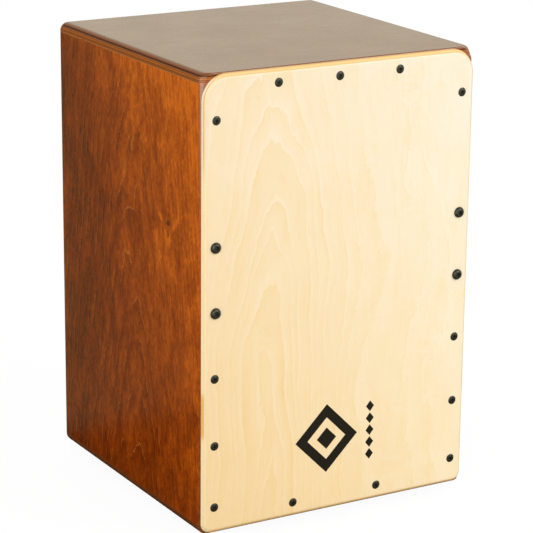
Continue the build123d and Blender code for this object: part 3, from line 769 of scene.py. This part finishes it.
def piece(name, bm, material, smooth=True):
    bmesh.ops.recalc_face_normals(bm, faces=bm.faces)
    mesh = bpy.data.meshes.new(name)
    bm.to_mesh(mesh)
    bm.free()
    if smooth:
        mesh.polygons.foreach_set("use_smooth", [True] * len(mesh.polygons))
    mesh.materials.append(material)
    made = bpy.data.objects.new(name, mesh)
    bpy.context.scene.collection.objects.link(made)
    return made


# ----------------------------------------------------------------- springs
SPRING_WIRE = 0.4           # wire radius
SPRING_RADIUS = 4.3
SPRING_GAP = 0.02
SPRING_TURNS, CLOSED_TURNS = 3.6, 0.6   # closed turns lie flat at each end
STEPS_PER_TURN = 26


def build_spring(corner):
    """Open coil with closed ends round one adjusting screw, from strip to board."""
    low, high = box_mm("snare_screw_" + corner)
    screw_x, screw_z = (low.x + high.x) / 2, (low.z + high.z) / 2
    y_start = STRIP_REAR + SPRING_WIRE + SPRING_GAP
    y_end = BOARD_LO.y - SPRING_WIRE - SPRING_GAP
    path = []
    steps = int(SPRING_TURNS * STEPS_PER_TURN)
    for i in range(steps + 1):
        part = i / steps
        angle = 2 * math.pi * SPRING_TURNS * part
        rise = (part * SPRING_TURNS - CLOSED_TURNS) / (SPRING_TURNS - 2 * CLOSED_TURNS)
        rise = min(max(rise, 0.0), 1.0)
        path.append(Vector((screw_x + SPRING_RADIUS * math.cos(angle),
                            y_start + (y_end - y_start) * rise,
                            screw_z + SPRING_RADIUS * math.sin(angle))) / 1000)
    bm = bmesh.new()
    tube_mesh(bm, path, SPRING_WIRE / 1000, sides=8)
    spring = piece("spring_" + corner, bm, wire)
    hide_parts("snare_springs")
    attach(spring, "box")
    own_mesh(spring)


for corner in CORNERS:
    build_spring(corner)

# ----------------------------------------------------------- snare strands
STRANDS, STRAND_PITCH = 12, 4.0
STRAND_RADIUS, STRAND_WIRE = 1.0, 0.22   # outer radius of the winding, wire radius
COIL_PITCH, STEPS_PER_COIL = 1.25, 9
STRAND_PHASE = 1.7          # radians by which each strand's winding is turned
BEND_FOOT, BEND_HEAD = 10.0, 18.0        # straight lengths below and above the bend


def build_strands(side):
    """Wound wires that follow the CAD strands' centre lines, bent towards the tapa."""
    low, high = box_mm("snare_strands_" + side)
    root_x, root_y = low.x + STRAND_RADIUS, high.y - STRAND_RADIUS
    tip_y = low.y + STRAND_RADIUS
    z_bend, z_touch = low.z + BEND_FOOT, high.z - BEND_HEAD
    z_start, z_end = low.z + STRAND_WIRE, high.z - STRAND_WIRE
    steps = int((z_end - z_start) / COIL_PITCH * STEPS_PER_COIL)
    winding = STRAND_RADIUS - STRAND_WIRE
    bm = bmesh.new()
    for strand in range(STRANDS):
        centre_x = root_x + strand * STRAND_PITCH
        path = []
        for i in range(steps + 1):
            z = z_start + (z_end - z_start) * i / steps
            bend = min(max((z - z_bend) / (z_touch - z_bend), 0.0), 1.0)
            bend = bend * bend * (3 - 2 * bend)
            centre_y = root_y + (tip_y - root_y) * bend
            angle = 2 * math.pi * i / STEPS_PER_COIL + strand * STRAND_PHASE
            path.append(Vector((centre_x + winding * math.cos(angle),
                                centre_y + winding * math.sin(angle), z)) / 1000)
        tube_mesh(bm, path, STRAND_WIRE / 1000, sides=5)
    coils = piece("snare_coils_" + side, bm, wire)
    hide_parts("snare_strands_" + side)
    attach(coils, "snare_carrier")


for side in ("left", "right"):
    build_strands(side)

# ------------------------------------------------------------ printed mark
INK, INK_SUNK = 0.09, 0.02  # how far the print stands out of the tapa and sinks in
MARK_X, MARK_Z = -12.0, 86.0
MARK_HALF, MARK_BAND = 35.0, 13.5        # outer diamond and the width of its frame
MARK_CORE = 11.0
LOZENGES, LOZENGE_X, LOZENGE_PITCH = 5, 37.5, 12.4
LOZENGE_HALF_H, LOZENGE_HALF_W = 5.6, 4.6


def plate_from(bm, outline, hole=None):
    """Thin plate facing -Y from an outline of (x, z) points, with a hole to match."""
    def ring(loop, y):
        return [bm.verts.new(Vector((x, y, z)) / 1000) for x, z in loop]

    y_front, y_rear = TAPA_FRONT - INK, TAPA_FRONT + INK_SUNK
    front, rear = ring(outline, y_front), ring(outline, y_rear)
    count = len(outline)
    if hole:
        front_in, rear_in = ring(hole, y_front), ring(hole, y_rear)
        for k in range(count):
            j = (k + 1) % count
            bm.faces.new((front[k], front[j], front_in[j], front_in[k]))
            bm.faces.new((rear[k], rear[j], rear_in[j], rear_in[k]))
            bm.faces.new((front_in[k], front_in[j], rear_in[j], rear_in[k]))
    else:
        bm.faces.new(front)
        bm.faces.new(list(reversed(rear)))
    for k in range(count):
        j = (k + 1) % count
        bm.faces.new((front[k], front[j], rear[j], rear[k]))


def diamond(x, z, half_h, half_w):
    return [(x, z + half_h), (x + half_w, z), (x, z - half_h), (x - half_w, z)]


def build_mark():
    """Framed diamond with a column of small lozenges to its right."""
    bm = bmesh.new()
    inside = MARK_HALF - MARK_BAND
    plate_from(bm, diamond(MARK_X, MARK_Z, MARK_HALF, MARK_HALF),
               hole=diamond(MARK_X, MARK_Z, inside, inside))
    plate_from(bm, diamond(MARK_X, MARK_Z, MARK_CORE, MARK_CORE))
    for k in range(LOZENGES):
        z = MARK_Z + LOZENGE_PITCH * (k - LOZENGES // 2)
        plate_from(bm, diamond(LOZENGE_X, z, LOZENGE_HALF_H, LOZENGE_HALF_W))
    mark = piece("printed_mark", bm, print_material(), smooth=False)
    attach(mark, "box")


build_mark()

# ------------------------------------------------------- stage, in metres
FLOOR_HALF = 12.0
# what reflections see in the floor: strength of each glow
FLOOR_AHEAD, FLOOR_BEHIND, FLOOR_PATCH = 0.85, 0.140, 3.2
AHEAD_COLOR, BEHIND_COLOR = (1.0, 0.90, 0.80), (0.86, 1.0, 0.54)
FLOOR_BOUNCE = (0.50, 0.48, 0.45)
FLOOR_SHADOW = 0.05         # share of the seen floor that takes light and shadow


def floor_material():
    """Pale floor. Camera rays see it evenly lit; reflections see it dark round the
    object, dim behind it and bright well ahead of it."""
    material = bpy.data.materials.new("studio_floor")
    material.use_nodes = True
    n = Nodes(material.node_tree)
    is_camera, is_glossy = n.source("ShaderNodeLightPath", "Is Camera Ray", "Is Glossy Ray")
    x, y, _ = n.split(n.source("ShaderNodeTexCoord", "Object")[0])
    behind = n.remap(y, span=(0.165, 0.235), to=(0.0, FLOOR_BEHIND), smooth=True)
    reach = n.math("SQRT", x * x + y * y)
    ahead = (n.remap(reach, span=(0.95, 1.45), to=(0.0, FLOOR_AHEAD), smooth=True)
             * n.remap(y, span=(-0.65, -0.30), to=(1.0, 0.0), smooth=True))
    # stronger patch ahead on the left
    patch = n.remap(reach, span=(1.56, 1.74), to=(0.0, FLOOR_PATCH), smooth=True) * (
        n.remap(x, span=(-1.05, -0.75), to=(1.0, 0.0), smooth=True)
        * n.remap(y, span=(-0.70, -0.45), to=(1.0, 0.0), smooth=True))

    def emission(color, strength):
        return n.output("ShaderNodeEmission", color, strength)

    def pick(factor, first, second):
        return n.output("ShaderNodeMixShader", factor, first, second)

    gloss = n.output("ShaderNodeAddShader", emission(AHEAD_COLOR, ahead + patch),
                     emission(BEHIND_COLOR, behind))
    lit = n.output("ShaderNodeBsdfDiffuse", (0.95, 0.95, 0.95))
    seen = pick(FLOOR_SHADOW, emission((1.0, 1.0, 1.0), 1.0), lit)
    dull = n.output("ShaderNodeBsdfDiffuse", FLOOR_BOUNCE)
    surface = pick(is_camera, pick(is_glossy, dull, gloss), seen)
    out = n.tree.nodes.new("ShaderNodeOutputMaterial")
    n.put(out.inputs[0], surface)
    return material


def build_floor():
    material = floor_material()
    half = FLOOR_HALF
    mesh = bpy.data.meshes.new("studio_floor")
    mesh.from_pydata([(-half, -half, 0), (half, -half, 0), (half, half, 0),
                      (-half, half, 0)], [], [(0, 1, 2, 3)])
    mesh.materials.append(material)
    floor = bpy.data.objects.new("studio_floor", mesh)
    bpy.context.scene.collection.objects.link(floor)


def build_world():
    """White to the camera, an even fill for light, and soft panels in reflections."""
    world = bpy.data.worlds.new("studio")
    bpy.context.scene.world = world
    world.use_nodes = True
    n = Nodes(world.node_tree)
    is_camera, is_glossy = n.source("ShaderNodeLightPath", "Is Camera Ray", "Is Glossy Ray")
    # direction of the ray; z is up
    x, y, z = n.split(n.source("ShaderNodeTexCoord", "Generated")[0])

    def fade(value, span, to):
        return n.remap(value, span, to, smooth=True)

    # a bright sweep low behind and to the right; dimmer overhead and at the horizon
    sweep = (fade(z, span=(0.24, 0.56), to=(0.99, 0.33))
             * fade(y, span=(-0.35, 0.45), to=(0.55, 1.0))
             * fade(x, span=(-0.40, 0.34), to=(0.0, 1.0))
             * fade(z, span=(-0.05, 0.17), to=(0.22, 1.0)))
    # a second, weaker panel high on the left
    left_panel = (fade(x, span=(-0.68, -0.52), to=(0.75, 0.0))
                  * fade(z, span=(0.22, 0.38), to=(0.0, 1.0)))
    # one in front, clear of the horizon, with a bright lamp in its left part
    front_panel = (fade(y, span=(-0.80, -0.60), to=(0.55, 0.0))
                   * fade(z, span=(0.04, 0.16), to=(0.0, 1.0)))
    lamp = (fade(y, span=(-0.88, -0.82), to=(3.6, 0.0))
            * fade(x, span=(-0.40, -0.25), to=(1.0, 0.0)))
    front = n.math("MULTIPLY_ADD", lamp, fade(z, span=(0.04, 0.16), to=(0.0, 1.0)),
                   front_panel)

    def sky(color, strength):
        return n.output("ShaderNodeBackground", color, strength)

    around = sky((1.0, 0.99, 0.97), strength=1.0)
    in_gloss = sky((1.0, 0.965, 0.80), strength=sweep + left_panel + front)
    unseen = n.output("ShaderNodeMixShader", is_glossy, around, in_gloss)
    surface = n.output("ShaderNodeMixShader", is_camera, unseen,
                       sky((1.0, 1.0, 1.0), strength=1.0))
    out = n.tree.nodes.new("ShaderNodeOutputWorld")
    n.put(out.inputs[0], surface)


def softbox(name, at, aim, size, power):
    """Rectangular white light aimed at a point; power in watts."""
    light = bpy.data.lights.new(name, "AREA")
    light.shape = "RECTANGLE"
    light.size, light.size_y = size
    light.energy = power
    light.color = (1, 1, 1)
    lamp = bpy.data.objects.new(name, light)
    bpy.context.scene.collection.objects.link(lamp)
    lamp.location = at
    lamp.rotation_mode = "QUATERNION"
    lamp.rotation_quaternion = (Vector(aim) - Vector(at)).to_track_quat("-Z", "Y")


build_floor()
build_world()
softbox("key_right", at=(1.5, -2.3, 1.7), aim=(0, 0, 0.25), size=(1.1, 1.1), power=42)
softbox("fill_left", at=(-1.35, -1.45, 0.9), aim=(-0.15, -0.1, 0.2), size=(0.7, 1.2),
        power=13)

# ------------------------------------------------------- camera, in metres
CAM_LENS, CAM_SENSOR = 155.48217636, 36.0        # mm
CAM_YAW, CAM_PITCH, CAM_ROLL = (math.radians(a) for a in (-30.3375, 16.3373, 0.5746))
CAM_TARGET, CAM_DISTANCE = (0.0, 0.0015, 0.233), 2.32132
CAM_SHIFT_RIGHT, CAM_SHIFT_UP = 0.00643, -0.01374


def build_camera():
    """Long lens from the front left, a little above."""
    data = bpy.data.cameras.new("camera")
    camera = bpy.data.objects.new("camera", data)
    bpy.context.scene.collection.objects.link(camera)
    bpy.context.scene.camera = camera
    data.sensor_fit = "HORIZONTAL"
    data.sensor_width = CAM_SENSOR
    data.lens = CAM_LENS
    data.clip_start, data.clip_end = 0.05, 60.0
    # unit vector from the target back to the camera
    back = Vector((math.sin(CAM_YAW) * math.cos(CAM_PITCH),
                   -math.cos(CAM_YAW) * math.cos(CAM_PITCH), math.sin(CAM_PITCH)))
    right = (-back).cross(Vector((0, 0, 1))).normalized()
    up = right.cross(-back)
    place = (Vector(CAM_TARGET) + right * CAM_SHIFT_RIGHT + up * CAM_SHIFT_UP
             + back * CAM_DISTANCE)
    rolled_right = math.cos(CAM_ROLL) * right + math.sin(CAM_ROLL) * up
    rolled_up = -math.sin(CAM_ROLL) * right + math.cos(CAM_ROLL) * up
    matrix = Matrix((rolled_right, rolled_up, back)).transposed().to_4x4()
    matrix.translation = place
    camera.matrix_world = matrix


build_camera()
view = bpy.context.scene.view_settings
view.view_transform = "Standard"
view.look = "None"
view.exposure = 0.0
view.gamma = 1.0
